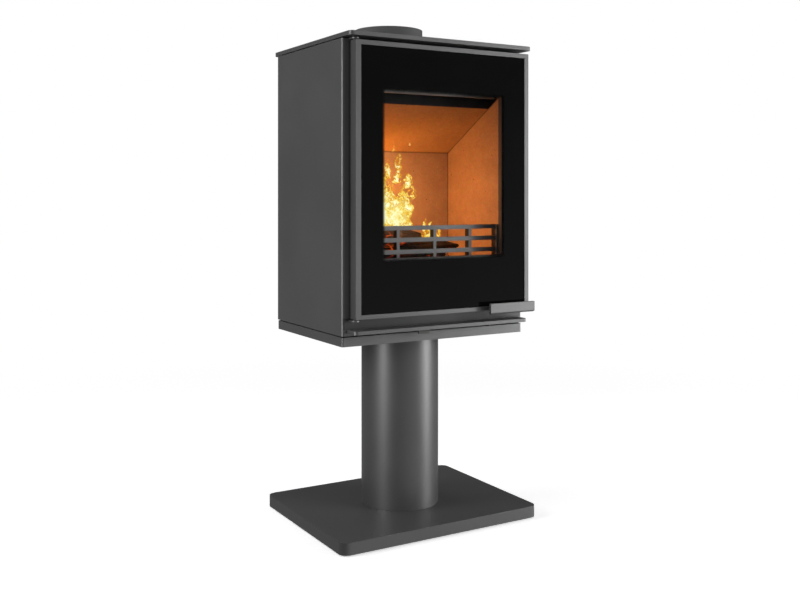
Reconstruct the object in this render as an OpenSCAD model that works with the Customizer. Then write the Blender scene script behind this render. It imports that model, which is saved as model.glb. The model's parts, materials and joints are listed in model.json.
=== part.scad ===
// Wood burning stove on a round pedestal, with one side-hung glazed door.
// Millimetres. X runs to the right, Y to the back and Z up.
// The origin is on the floor, on the axis of the pedestal column.

/* [Pedestal] */
// Width of the base plate
base_w = 470; // [420:5:560]
// Depth of the base plate
base_d = 370; // [330:5:440]
// Thickness of the base plate
base_t = 24; // [20:1:30]
// Height of the foot pads under the base plate
pad_h = 3; // [2:0.5:4]
// Outside radius of the column
column_r = 84; // [80:1:95]
// Length of the column
column_h = 370; // [250:10:450]

/* [Body] */
// Width of the casing
body_w = 436.2; // [430:0.2:450]
// Distance from the column axis to the casing front
body_front = 149.6; // [149:0.2:152]
// Distance from the column axis to the casing back
body_back = 163.5; // [160:0.5:180]
// Height of the tray under the casing
tray_h = 18.6; // [17:0.2:20]
// Height of the casing
casing_h = 583.4; // [583.4:0.2:620]
// Thickness of the casing sheet
sheet_t = 2; // [1.5:0.5:2.5]

/* [Top] */
// Width of the top plate
top_w = 437.4; // [434:0.2:460]
// Depth of the top plate
top_d = 367.8; // [360:0.2:380]
// Thickness of the top plate
top_t = 8.4; // [6:0.2:10]
// Outside radius of the flue collar
collar_r = 75.5; // [74:0.5:77]
// Height of the flue collar above the top plate
collar_h = 48; // [40:1:60]
// Distance of the flue collar behind the column axis
collar_y = 49.6; // [46:0.2:50]

/* [Door] */
// Width of the door
door_w = 419; // [417:0.5:421]
// Height of the door
door_h = 544.7; // [543:0.1:546]
// Depth of the door frame
door_t = 23.3; // [23:0.1:24]
// Width of the frame's border at the hinge side
border_hinge = 11.4; // [11:0.1:12]
// Width of the frame's border at the handle side
border_latch = 10.2; // [9.8:0.1:11]
// Width of the frame's top border
border_top = 9.3; // [9:0.1:10]
// Width of the frame's bottom border
border_bottom = 8.5; // [8.3:0.1:9]
// Thickness of the glass
glass_t = 4; // [3:0.5:5]

/* [Handle and air control] */
// Length of the handle bar
handle_l = 113.8; // [90:1:120]
// Height of the handle bar
handle_h = 22; // [18:1:24]
// Thickness of the handle bar
handle_t = 6; // [5:0.5:8]
// Travel of the air lever
air_travel = 42; // [40:1:42]
// Width of the air lever
lever_w = 26; // [20:1:28]

/* [Firebox] */
// Clear width between the side boards
hearth_w = 320.7; // [316:0.1:324]
// Distance of the rear board's face behind the column axis
hearth_back = 66; // [60:1:70]
// Thickness of the vermiculite boards
board_t = 25; // [20:1:25]
// Height of the log retainer above the hearth
retainer_h = 85; // [75:1:90]

/* [Hidden] */

$fn = 48;
fit_gap = 0.05; // running clearance on a radius
part_gap = 0.3; // clearance between neighbouring parts
cut = 1; // how far a cutting shape runs past a face

// Levels
base_top = pad_h + base_t;
tray_bottom = base_top + column_h;
tray_top = tray_bottom + tray_h;
seam = 2; // shadow gap between the tray and the casing
casing_bottom = tray_top + seam;
casing_top = casing_bottom + casing_h;
top_groove = 2;
top_bottom = casing_top + top_groove;
top_z = top_bottom + top_t;
collar_top = top_z + collar_h;
collar_step = 0.8; // shoulder that centres the top plate

// Rear panel screws
back_screw_r = 1.9;

// Pedestal
column_wall = 4;
column_bore = column_r - column_wall;
air_hole_r = 45;
flange_t = 8;
bolt_circle = 62;
bolt_r = 5;
bolt_head_r = 9.2;
bolt_head_h = 6.4;
base_corner = 18;
base_rim = 14;
base_web = 12;
pocket_h = 9;
pad_r = 14;
pad_inset = 26;
pad_stem_r = 4;
pad_stem_h = 6;

// Tray and what stands in it
tray_t = 2.5;
tray_floor = tray_bottom + tray_t;
plate_w = 240;
plate_t = 6;
plate_top = tray_floor + plate_t;
rail_x = 140;
rail_w = 30;
rail_t = 3;
rail_front = -135;
rail_back = 125;

// Door: its outline, its hinge axis and its layers from front to back
half_body = body_w / 2;
door_right = half_body;
door_left = door_right - door_w;
door_x = (door_left + door_right) / 2;
door_bottom = casing_bottom + 34.3;
door_top = door_bottom + door_h;
door_back = -body_front - 2;
door_front = door_back - door_t;
lip_t = 2.5;
rebate = 2;
open_left = door_left + border_hinge;
open_right = door_right - border_latch;
open_bottom = door_bottom + border_bottom;
open_top = door_top - border_top;
glass_front = door_front + lip_t + 0.1;
glass_back = glass_front + glass_t;
gasket_t = 2;
gasket_w = 9;
inner_front = glass_back + gasket_t;
inner_t = 3;
hinge_x = door_left + 4.9;
hinge_y = door_back - 10.9;
pin_r = 3;
pin_depth = 16;

// Door seal and the opening that it surrounds
aperture_half = 177;
aperture_bottom = casing_bottom + 60.4;
aperture_top = casing_bottom + 550.4;
rope_r = 4.5;
rope_offset = 8;
rope_corner = 22;
rope_y = -body_front - part_gap - rope_r;
rope_half = aperture_half + rope_offset;
rope_bottom = aperture_bottom - rope_offset;
rope_top = aperture_top + rope_offset;
view_half = 163;
view_bottom = casing_bottom + 122.4;
view_top = casing_bottom + 512.4;

// Latch
latch_x = door_right - 23.1;
latch_z = door_bottom + 4.7;
spindle_r = 3;
handle_front = door_front - 20.1;
handle_right = door_right + 1.2;
handle_round = 4;
cam_l = 17;
cam_h = 7;
cam_t = 4;
cam_y = -body_front + 3.1;
slot_left = latch_x - 7.5;
slot_right = latch_x + cam_l + 1.5;
slot_bottom = latch_z - 16.5;
slot_top = latch_z + 7;

// Firebox
hearth_half = hearth_w / 2;
wall_t = 4;
wall_gap = 0.5;
wall_in = hearth_half + board_t + wall_gap;
wall_out = wall_in + wall_t;
frame_y = -body_front + sheet_t + 0.2;
frame_back = frame_y + wall_t;
box_back = 134;
floor_bottom = casing_bottom + 56.4;
floor_top = floor_bottom + wall_t;
shelf_bottom = floor_top + 39;
shelf_top = shelf_bottom + wall_t;
hearth_z = shelf_top + board_t;
box_top = casing_bottom + 571.4;
mouth_half = 158.5;
mouth_bottom = casing_bottom + 148.9;
mouth_top = casing_bottom + 512.4;
liner_back = -135.5;
liner_t = 3;

// Lower baffle: its underside climbs from the rear board towards the door
baffle_foot_z = hearth_z + 246;
baffle_head_y = -96;
baffle_head_z = hearth_z + 337;
baffle_slope = (baffle_head_z - baffle_foot_z) / (hearth_back - baffle_head_y);
baffle_angle = atan(baffle_slope);
baffle_rear = box_back - wall_t - 1;
upper_baffle_z = casing_bottom + 522.4;
deflector_y = -115;
deflector_z = casing_bottom + 485.4;

// Hearth
grate_half = 100;
grate_front = -115;
grate_slots = 7;
grate_slot_w = 12;
ash_half = 105;
ash_front = -141;
ash_back = 40;
ash_sheet = 1.5;
ash_top = shelf_bottom - 4;
ash_hole_half = 88;

// Log retainer
bar_h = 8.8;
bar_pitch = 24.4;
bar_t = 5;
post_w = 6.5;
post_d = 14;
post_pitch = 88.5;
retainer_y = -130;
retainer_half = mouth_half - 1;

// Air control
lever_left = -57;
lever_t = 2.2;
lever_z = casing_bottom + 1.8;
lever_front = -172;
lever_lip = 7;
air_half = 125;
air_front = -138;
air_back = 75;
air_bottom = plate_top + 7.5;
air_top = air_bottom + 25;
air_sheet = 2;
slide_t = 3;
slide_top = air_top - air_sheet - part_gap;
slide_front = -122;
slide_back = -74;
port_w = 38;
port_d = 24;
port_pitch = 2 * air_travel;
port_y = (slide_front + slide_back) / 2;

// Ledge under the door
lip_half = 207.6;
lip_front = -184;
lip_z = casing_bottom + 5.8;
lip_h = 7.1;

// Colours
graphite = [0.27, 0.27, 0.27];
dark_steel = [0.18, 0.18, 0.18];
iron = [0.22, 0.22, 0.23];
bare_steel = [0.55, 0.55, 0.56];
zinc = [0.70, 0.70, 0.68];
vermiculite = [0.78, 0.66, 0.48];
rope_grey = [0.62, 0.61, 0.58];
glass_black = [0.07, 0.07, 0.08];

// A box given by its lowest and its highest corner
module span(low, high) {
    translate(low) cube(high - low);
}

// A rectangle about the origin with round corners
module rounded_rect(w, d, r) {
    square([w - 2 * r, d], center = true);
    square([w, d - 2 * r], center = true);
    for (sx = [-1, 1], sy = [-1, 1])
        translate([sx * (w / 2 - r), sy * (d / 2 - r)]) circle(r);
}

// An upright plate in the XZ plane, from y0 to y1, cut from a 2D outline
module upright(y0, y1) {
    translate([0, y1, 0]) rotate([90, 0, 0]) linear_extrude(y1 - y0) children();
}

// A rectangle in the XZ plane, given by its edges
module window_2d(left, right, bottom, top) {
    translate([left, bottom]) square([right - left, top - bottom]);
}

// A profile in the YZ plane, drawn as (y, z) and extruded from x0 to x1
module across(x0, x1) {
    translate([x0, 0, 0]) rotate([90, 0, 90]) linear_extrude(x1 - x0) children();
}

// A round bar along Y
module y_bar(r, y0, y1) {
    translate([0, y1, 0]) rotate([90, 0, 0]) cylinder(r = r, h = y1 - y0);
}

// A hexagon head cap screw along +Z, with its head below z = 0
module hex_bolt(r, head_r, head_h, length) {
    translate([0, 0, -head_h]) cylinder(r = head_r, h = head_h, $fn = 6);
    cylinder(r = r, h = length);
}

// Children repeated at the four bolts of the column
module at_column_bolts() {
    for (a = [45 : 90 : 315]) rotate(a) translate([bolt_circle, 0, 0]) children();
}

// Height of the lower baffle's underside at a distance y behind the column axis
function baffle_under(y) = baffle_foot_z + (hearth_back - y) * baffle_slope;

// ---------------------------------------------------------------- pedestal

module base_plate() {
    color(graphite) difference() {
        translate([0, 0, pad_h]) linear_extrude(base_t) rounded_rect(base_w, base_d, base_corner);
        translate([0, 0, pad_h - cut]) base_recess(base_web + cut);
        cylinder(r = air_hole_r, h = base_top + cut);
        at_column_bolts() cylinder(r = bolt_r + 0.5, h = base_top + cut);
        at_column_bolts() cylinder(r = bolt_head_r + 3, h = pad_h + pocket_h);
        at_pads() cylinder(r = pad_stem_r + 0.1, h = pad_h + pad_stem_h + 0.5);
    }
}

// Hollow underside of the base plate, which leaves a rim, a hub, four ribs and pad bosses
module base_recess(h) {
    linear_extrude(h) difference() {
        rounded_rect(base_w - 2 * base_rim, base_d - 2 * base_rim, base_corner / 2);
        circle(column_r + 8);
        square([base_w, base_web], center = true);
        square([base_web, base_d], center = true);
        at_pads() circle(pad_r + 4);
    }
}

module at_pads() {
    for (sx = [-1, 1], sy = [-1, 1])
        translate([sx * (base_w / 2 - pad_inset), sy * (base_d / 2 - pad_inset)]) children();
}

module base_pads() {
    color([0.1, 0.1, 0.1]) at_pads() {
        cylinder(r = pad_r, h = pad_h);
        cylinder(r = pad_stem_r, h = pad_h + pad_stem_h);
    }
}

module column_tube() {
    color(graphite) translate([0, 0, base_top]) difference() {
        cylinder(r = column_r, h = column_h);
        translate([0, 0, -cut]) cylinder(r = column_bore, h = column_h + 2 * cut);
    }
}

module column_flange(z) {
    color(dark_steel) translate([0, 0, z]) difference() {
        cylinder(r = column_bore - 0.1, h = flange_t);
        translate([0, 0, -cut]) cylinder(r = air_hole_r, h = flange_t + 2 * cut);
        at_column_bolts() translate([0, 0, -cut]) cylinder(r = bolt_r + 0.1, h = flange_t + 2 * cut);
    }
}

module column_foot_flange() column_flange(base_top);

module column_head_flange() column_flange(tray_bottom - flange_t);

module base_bolts() {
    length = base_t - pocket_h + flange_t + 2;
    color(zinc) at_column_bolts() translate([0, 0, pad_h + pocket_h])
        hex_bolt(bolt_r, bolt_head_r, bolt_head_h, length);
}

module head_bolts() {
    length = plate_t + tray_t + flange_t + 2;
    color(zinc) at_column_bolts() translate([0, 0, plate_top]) mirror([0, 0, 1])
        hex_bolt(bolt_r, bolt_head_r, bolt_head_h, length);
}

// ---------------------------------------------------------------- tray and air box

module mounting_plate() {
    color(dark_steel) difference() {
        translate([0, 0, tray_floor]) linear_extrude(plate_t) rounded_rect(plate_w, plate_w, 10);
        cylinder(r = air_hole_r, h = plate_top + cut);
        at_column_bolts() cylinder(r = bolt_r + 0.5, h = plate_top + cut);
    }
}

module bottom_tray() {
    depth = body_front + body_back;
    corner = 4;
    color(graphite) difference() {
        translate([0, (body_back - body_front) / 2, tray_bottom]) difference() {
            linear_extrude(tray_h) rounded_rect(body_w, depth, corner);
            translate([0, 0, tray_t]) linear_extrude(tray_h)
                rounded_rect(body_w - 2 * tray_t, depth - 2 * tray_t, corner - tray_t);
        }
        cylinder(r = air_hole_r, h = tray_top);
        at_column_bolts() cylinder(r = bolt_r + 0.5, h = tray_top);
    }
}

module support_rails() {
    color(dark_steel) for (side = [0, 1]) mirror([side, 0, 0]) difference() {
        span([rail_x, rail_front, tray_floor], [rail_x + rail_w, rail_back, floor_bottom]);
        span([rail_x + rail_t, rail_front - cut, tray_floor + rail_t],
             [rail_x + rail_w + cut, rail_back + cut, floor_bottom - rail_t]);
    }
}

module air_box() {
    color(dark_steel) difference() {
        union() {
            span([-air_half, air_front, air_bottom], [air_half, air_back, air_top]);
            translate([0, 0, plate_top]) cylinder(r = air_hole_r + air_sheet, h = air_bottom - plate_top + 1);
        }
        span([-air_half + air_sheet, air_front + air_sheet, air_bottom + air_sheet],
             [air_half - air_sheet, air_back - air_sheet, air_top - air_sheet]);
        translate([0, 0, plate_top - cut]) cylinder(r = air_hole_r, h = air_bottom - plate_top + 4);
        air_ports(air_top - air_sheet - cut, air_top + cut);
        lever_slot(air_front - cut, air_front + air_sheet + cut);
    }
}

// The three ports that the slide opens and closes
module air_ports(z0, z1) {
    for (i = [-1 : 1])
        translate([i * port_pitch, port_y, (z0 + z1) / 2]) cube([port_w, port_d, z1 - z0], center = true);
}

// The slot that the lever runs in
module lever_slot(y0, y1) {
    span([lever_left - 3, y0, casing_bottom - cut], [lever_left + lever_w + air_travel + 3, y1, lever_z + 3]);
}

module air_slide_guides() {
    low = slide_top - slide_t - 3.2;
    high = air_top - air_sheet;
    color(zinc) {
        guide_rail(slide_front, -1, low, high);
        guide_rail(slide_back, 1, low, high);
    }
}

// One angle rail whose foot carries an edge of the slide
module guide_rail(edge, out, low, high) {
    wall = [edge + out * part_gap, edge + out * 3.5];
    foot = [edge - out * 4, edge + out * 3.5];
    span([-air_half + 5, min(wall), low], [air_half - 5, max(wall), high]);
    span([-air_half + 5, min(foot), low], [air_half - 5, max(foot), low + 2.8]);
}

module air_slide() {
    plate_half = port_pitch + port_w / 2 + 8;
    color(zinc) difference() {
        span([-plate_half, slide_front, slide_top - slide_t],
             [air_half - air_sheet - air_travel - 2, slide_back, slide_top]);
        air_ports(slide_top - slide_t - cut, slide_top + cut);
    }
}

module air_lever() {
    right = lever_left + lever_w;
    riser_y = port_y - port_d / 2 - 6;
    color(dark_steel) {
        span([lever_left, lever_front, lever_z], [right, riser_y + 2, lever_z + lever_t]);
        span([lever_left, lever_front, lever_z + lever_t - lever_lip],
             [right, lever_front + lever_t, lever_z + lever_t]);
        span([lever_left, riser_y, lever_z], [right, riser_y + 2, slide_top - slide_t]);
    }
}

// ---------------------------------------------------------------- casing

module casing_shell() {
    h = casing_top - casing_bottom;
    color(graphite) difference() {
        translate([0, 0, casing_bottom]) linear_extrude(h) casing_outline();
        upright(-body_front - cut, -body_front + sheet_t + cut) {
            window_2d(door_x - aperture_half, door_x + aperture_half, aperture_bottom, aperture_top);
            window_2d(slot_left, slot_right, slot_bottom, slot_top);
        }
        lever_slot(-body_front - cut, -body_front + sheet_t + cut);
        at_back_screws() y_bar(back_screw_r + 0.1, body_back - 8, body_back);
    }
}

// Plan of the casing: front and sides bent from one sheet, with a return at each rear edge
module casing_outline() {
    bend = 5;
    depth = body_front + body_back;
    rear_return = 16;
    difference() {
        union() {
            translate([0, -body_front + depth / 2]) rounded_rect(body_w, depth, bend);
            translate([-half_body, 0]) square([body_w, body_back]);
        }
        difference() {
            union() {
                translate([0, -body_front + depth / 2])
                    rounded_rect(body_w - 2 * sheet_t, depth - 2 * sheet_t, bend - sheet_t);
                translate([-half_body + sheet_t, 0]) square([body_w - 2 * sheet_t, body_back + cut]);
            }
            for (side = [0, 1]) mirror([side, 0])
                translate([half_body - rear_return, body_back - 6]) square([rear_return, sheet_t]);
        }
    }
}

module back_panel() {
    y = body_back - 3.8;
    slot_w = 58;
    slot_h = 7;
    color(graphite) difference() {
        upright(y, y + 1.8) difference() {
            window_2d(-half_body + sheet_t + part_gap, half_body - sheet_t - part_gap,
                      casing_bottom + 1, casing_top - 1);
            for (row = [0 : 2], column = [-2 : 2], base = [casing_bottom + 22, casing_top - 66])
                translate([column * 76, base + row * 20]) square([slot_w, slot_h], center = true);
        }
        at_back_screws() y_bar(back_screw_r + 0.1, y - cut, y + 3);
    }
}

module at_back_screws() {
    for (sx = [-1, 1], z = [0.1, 0.5, 0.9])
        translate([sx * (half_body - 9), 0, casing_bottom + z * casing_h]) children();
}

module back_screws() {
    color(zinc) at_back_screws() {
        y_bar(3.6, body_back - 2, body_back + 0.4);
        y_bar(back_screw_r, body_back - 10, body_back - 2);
    }
}

module top_plate() {
    corner = 9;
    color(graphite) translate([0, -1.3, top_bottom]) linear_extrude(top_t) difference() {
        rounded_rect(top_w, top_d, corner);
        translate([0, 1.3 + collar_y]) circle(collar_r + 1.2);
    }
}

module top_studs() {
    color(dark_steel) for (x = [-140, 140], y = [-95, 110])
        translate([x, y, box_top]) cylinder(r = 7, h = top_bottom - box_top);
}

module flue_collar() {
    color(iron) difference() {
        union() {
            translate([0, collar_y, box_top]) cylinder(r = collar_r, h = collar_top - box_top);
            translate([0, collar_y, box_top]) cylinder(r = collar_r + collar_step, h = top_z - box_top);
            translate([0, collar_y, box_top]) cylinder(r = collar_r + 17, h = 5);
        }
        translate([0, collar_y, box_top - cut]) cylinder(r = collar_r - 3, h = collar_top);
        at_collar_bolts() translate([0, 0, box_top - cut]) cylinder(r = 3.2, h = 10);
    }
}

module at_collar_bolts() {
    for (a = [135 : 90 : 405])
        translate([0, collar_y, 0]) rotate(a) translate([collar_r + 8.5, 0, 0]) children();
}

module collar_bolts() {
    color(zinc) at_collar_bolts() translate([0, 0, box_top + 5]) mirror([0, 0, 1])
        hex_bolt(3, 5.5, 4, 5 + wall_t + 3);
}

// ---------------------------------------------------------------- firebox

module firebox_floor() {
    vent_y = [-60, 0, 60];
    color(dark_steel) difference() {
        span([door_x - wall_out, frame_back, floor_bottom], [door_x + wall_out, box_back, floor_top]);
        for (y = vent_y)
            span([door_x - 80, y - 6, floor_bottom - cut], [door_x + 80, y + 6, floor_top + cut]);
    }
}

module firebox_side_wall(side) {
    inner = door_x + side * wall_in;
    outer = door_x + side * wall_out;
    color(dark_steel) span([min(inner, outer), frame_back, floor_top],
                           [max(inner, outer), box_back, box_top - wall_t]);
}

module firebox_left_wall() firebox_side_wall(-1);

module firebox_right_wall() firebox_side_wall(1);

module firebox_back_wall() {
    color(dark_steel) span([door_x - wall_in, box_back - wall_t, floor_top],
                           [door_x + wall_in, box_back, box_top - wall_t]);
}

module firebox_top() {
    color(dark_steel) difference() {
        span([door_x - wall_out, frame_back, box_top - wall_t], [door_x + wall_out, box_back, box_top]);
        translate([0, collar_y, box_top - wall_t - cut]) cylinder(r = collar_r - 3, h = wall_t + 2 * cut);
        at_collar_bolts() translate([0, 0, box_top - wall_t - cut]) cylinder(r = 3.2, h = 10);
    }
}

// The front plate that the walls are welded to, with the liner of the stoking mouth
module firebox_frame() {
    color(dark_steel) {
        upright(frame_y, frame_back) difference() {
            window_2d(door_x - wall_out, door_x + wall_out, aperture_bottom - 12, box_top);
            window_2d(door_x - mouth_half, door_x + mouth_half, mouth_bottom, mouth_top);
            window_2d(door_x - ash_half - 2.5, door_x + ash_half + 2.5, floor_top + 0.5, ash_top + 1.5);
        }
        upright(frame_back, liner_back) difference() {
            window_2d(door_x - mouth_half - liner_t, door_x + mouth_half + liner_t,
                      mouth_bottom - liner_t, mouth_top + liner_t);
            window_2d(door_x - mouth_half, door_x + mouth_half, mouth_bottom, mouth_top);
        }
    }
}

module air_wash_ducts() {
    depth = 12;
    color(zinc) for (side = [-1, 1]) {
        inner = door_x + side * wall_out;
        outer = inner + side * depth;
        difference() {
            span([min(inner, outer), -130, floor_top + 5], [max(inner, outer), -70, box_top - 8]);
            span([min(inner, outer - side * 1.5), -128.5, floor_top + 6.5],
                 [max(inner, outer - side * 1.5), -71.5, box_top - 9.5]);
        }
    }
}

module air_wash_channel() {
    low = deflector_z + 35;
    high = box_top - wall_t;
    back = deflector_y + 3;
    front = liner_back + 0.5;
    color(dark_steel) difference() {
        span([door_x - wall_in, front, low], [door_x + wall_in, back, high]);
        span([door_x - wall_in + 2, front + 2, low + 2], [door_x + wall_in - 2, back - 2, high - 2]);
        span([door_x - 140, front + 4, low - cut], [door_x + 140, front + 9, low + 3]);
    }
}

module air_wash_deflector() {
    low = deflector_z;
    high = deflector_z + 35;
    half = hearth_half - 0.5;
    color(bare_steel) {
        span([door_x - half, deflector_y, low], [door_x + half, deflector_y + 3, high]);
        span([door_x - half, deflector_y - 5, low], [door_x + half, deflector_y, low + 3]);
    }
}

module grate_shelf() {
    color(dark_steel) difference() {
        span([door_x - wall_in, frame_back, shelf_bottom], [door_x + wall_in, box_back - wall_t, shelf_top]);
        span([door_x - ash_hole_half, grate_front + 12, shelf_bottom - cut],
             [door_x + ash_hole_half, ash_back - 5, shelf_top + cut]);
    }
}

module grate() {
    slot_pitch = 2 * ash_hole_half / grate_slots;
    color(iron) difference() {
        span([door_x - grate_half, grate_front, shelf_top],
             [door_x + grate_half, hearth_back - 0.5, hearth_z]);
        for (i = [0 : grate_slots - 1]) {
            x = door_x + (i - (grate_slots - 1) / 2) * slot_pitch;
            span([x - grate_slot_w / 2, grate_front + 15, shelf_top - cut],
                 [x + grate_slot_w / 2, ash_back - 8, hearth_z + cut]);
        }
    }
}

module ash_pan() {
    bottom = floor_top + 0.8;
    color(zinc) {
        difference() {
            span([door_x - ash_half, ash_front, bottom], [door_x + ash_half, ash_back, ash_top]);
            span([door_x - ash_half + ash_sheet, ash_front + ash_sheet, bottom + ash_sheet],
                 [door_x + ash_half - ash_sheet, ash_back - ash_sheet, ash_top + cut]);
        }
        span([door_x - ash_half + 4, frame_y - 1, bottom], [door_x + ash_half - 4, ash_front, ash_top]);
        span([door_x - ash_half - 7, frame_y - 1.8, bottom], [door_x + ash_half + 7, frame_y - 0.2, ash_top]);
        span([door_x - 25, frame_y - 9, bottom + 16], [door_x + 25, frame_y - 1.8, bottom + 19]);
    }
}

module hearth_brick(x0, x1) {
    color(vermiculite) span([x0, grate_front + 0.3, shelf_top], [x1, hearth_back - 0.5, hearth_z]);
}

module hearth_brick_left() hearth_brick(door_x - hearth_half + 0.3, door_x - grate_half - 0.3);

module hearth_brick_right() hearth_brick(door_x + grate_half + 0.3, door_x + hearth_half - 0.3);

module hearth_brick_front() {
    color(vermiculite) span([door_x - hearth_half + 0.3, liner_back + 0.3, shelf_top],
                            [door_x + hearth_half - 0.3, grate_front - 0.3, hearth_z]);
}

// Side boards carry the lower baffle on their sloping top edges
module side_board(side) {
    inner = door_x + side * hearth_half;
    outer = inner + side * board_t;
    front = liner_back + 0.3;
    color(vermiculite) across(min(inner, outer), max(inner, outer))
        polygon([
            [front, shelf_top],
            [baffle_rear, shelf_top],
            [baffle_rear, baffle_under(baffle_rear)],
            [front, baffle_under(front)]
        ]);
}

module side_board_left() side_board(-1);

module side_board_right() side_board(1);

module rear_board() {
    back = hearth_back + board_t;
    color(vermiculite) across(door_x - hearth_half + 0.3, door_x + hearth_half - 0.3)
        polygon([
            [hearth_back, shelf_top],
            [back, shelf_top],
            [back, baffle_under(back) - 0.3],
            [hearth_back, baffle_under(hearth_back) - 0.3]
        ]);
}

module rear_insulation() {
    front = hearth_back + board_t + 0.3;
    color([0.85, 0.85, 0.82]) across(door_x - hearth_half + 0.3, door_x + hearth_half - 0.3)
        polygon([
            [front, shelf_top],
            [baffle_rear, shelf_top],
            [baffle_rear, baffle_under(baffle_rear) - 0.3],
            [front, baffle_under(front) - 0.3]
        ]);
}

module lower_baffle() {
    dy = board_t * sin(baffle_angle);
    dz = board_t * cos(baffle_angle);
    seat = 0.05;
    color(vermiculite) translate([0, 0, seat]) across(door_x - wall_in + 0.5, door_x + wall_in - 0.5)
        polygon([
            [baffle_head_y, baffle_under(baffle_head_y)],
            [baffle_rear, baffle_under(baffle_rear)],
            [baffle_rear, baffle_under(baffle_rear) + board_t / cos(baffle_angle)],
            [baffle_head_y + dy, baffle_under(baffle_head_y) + dz]
        ]);
}

module upper_baffle() {
    front = deflector_y + 3.3;
    left = door_x - wall_in + 0.5;
    right = door_x + wall_in - 0.5;
    color(dark_steel) {
        span([left, front, upper_baffle_z], [right, -35, upper_baffle_z + 3]);
        span([left, front, upper_baffle_z], [right, front + 3, upper_baffle_z + 14]);
    }
}

module log_retainer() {
    left = door_x - retainer_half;
    right = door_x + retainer_half;
    top = hearth_z + retainer_h;
    end_t = 3;
    color(iron) {
        for (i = [0 : 2]) span([left, retainer_y, top - i * bar_pitch - bar_h],
                               [right, retainer_y + bar_t, top - i * bar_pitch]);
        for (i = [-1 : 1]) {
            x = door_x + i * post_pitch;
            span([x - post_w / 2, retainer_y, hearth_z], [x + post_w / 2, retainer_y + post_d, top]);
        }
        for (x = [left, right - end_t])
            span([x, liner_back + part_gap, hearth_z], [x + end_t, retainer_y + post_d, top]);
    }
}

// ---------------------------------------------------------------- ledge and hinge

module front_lip() {
    corner = 8;
    depth = -body_front - lip_front;
    color(graphite) translate([0, 0, lip_z]) linear_extrude(lip_h) intersection() {
        translate([0, lip_front + depth]) rounded_rect(2 * lip_half, 2 * depth, corner);
        translate([-lip_half, lip_front]) square([2 * lip_half, depth]);
    }
}

module hinge_bracket(z0, z1) {
    color(graphite) difference() {
        union() {
            span([hinge_x - 8, hinge_y, z0], [hinge_x + 8, -body_front, z1]);
            translate([hinge_x, hinge_y, z0]) cylinder(r = 8, h = z1 - z0);
        }
        translate([hinge_x, hinge_y, z0 - cut]) cylinder(r = pin_r + fit_gap, h = z1 - z0 + 2 * cut);
    }
}

module upper_hinge_bracket() hinge_bracket(door_top + 1.9, door_top + 4.9);

module lower_hinge_bracket() hinge_bracket(door_bottom - 4.9, door_bottom - 1.9);

module hinge_pins() {
    reach = pin_depth - 1;
    color(bare_steel) translate([hinge_x, hinge_y, 0]) {
        translate([0, 0, door_top - reach]) cylinder(r = pin_r, h = reach + 4.9);
        translate([0, 0, door_bottom - 4.9]) cylinder(r = pin_r, h = reach + 4.9);
    }
}

module hinge_washers() {
    color(bare_steel) for (z = [door_top + part_gap, door_bottom - 1.9])
        translate([hinge_x, hinge_y, z]) difference() {
            cylinder(r = 6.5, h = 1.6);
            translate([0, 0, -cut]) cylinder(r = pin_r + fit_gap, h = 1.6 + 2 * cut);
        }
}

// ---------------------------------------------------------------- door

module door_frame() {
    color(graphite) difference() {
        upright(door_front, door_back) difference() {
            window_2d(door_left, door_right, door_bottom, door_top);
            window_2d(open_left, open_right, open_bottom, open_top);
        }
        upright(door_front + lip_t, door_back + cut)
            window_2d(open_left - rebate, open_right + rebate, open_bottom, open_top + rebate);
        for (z = [door_bottom - cut, door_top - pin_depth])
            translate([hinge_x, hinge_y, z]) cylinder(r = pin_r + fit_gap, h = pin_depth + cut);
        translate([latch_x, 0, latch_z]) y_bar(spindle_r + fit_gap, door_front - cut, door_back + cut);
        at_clips() y_bar(1.6, door_back - 8, door_back + cut);
    }
}

// Screw places of the eight clips, in the frame's side and top bars
module at_clips() {
    for (z = [0.14, 0.5, 0.86]) {
        translate([open_left - 5.7, 0, door_bottom + z * door_h]) children();
        translate([open_right + 6, 0, door_bottom + z * door_h]) children();
    }
    for (x = [0.3, 0.7])
        translate([door_left + x * door_w, 0, open_top + 5.6]) children();
}

module door_glass() {
    gap = 0.4;
    left = open_left - rebate + gap;
    right = open_right + rebate - gap;
    color(glass_black) upright(glass_front, glass_back)
        window_2d(left, right, open_bottom + gap, open_top + rebate - gap);
}

module glass_gasket() {
    gap = 0.4;
    left = open_left - rebate + gap;
    right = open_right + rebate - gap;
    bottom = open_bottom + gap;
    top = open_top + rebate - gap;
    color(rope_grey) upright(glass_back, inner_front) difference() {
        window_2d(left, right, bottom, top);
        window_2d(left + gasket_w, right - gasket_w, bottom + gasket_w, top - gasket_w);
    }
}

// Pressed frame that clamps the glass and holds the rope seal between two ribs
module door_inner_frame() {
    gap = 0.4;
    left = open_left - rebate + gap;
    right = open_right + rebate - gap;
    bottom = open_bottom + gap;
    top = open_top + rebate - gap;
    groove = rope_r + 0.4;
    rib = 4;
    color(dark_steel) {
        upright(inner_front, inner_front + inner_t) difference() {
            window_2d(left, right, bottom, top);
            window_2d(door_x - view_half, door_x + view_half, view_bottom, view_top);
        }
        upright(inner_front + inner_t, door_back) difference() {
            window_2d(left, right, bottom, top);
            rope_outline(groove);
        }
        upright(inner_front + inner_t, door_back) difference() {
            rope_outline(-groove);
            rope_outline(-groove - rib);
        }
    }
}

// The outline that the rope's centre line runs round, grown by a margin
module rope_outline(margin) {
    height = rope_top - rope_bottom;
    translate([door_x, (rope_top + rope_bottom) / 2])
        rounded_rect(2 * (rope_half + margin), height + 2 * margin, rope_corner + margin);
}

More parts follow.
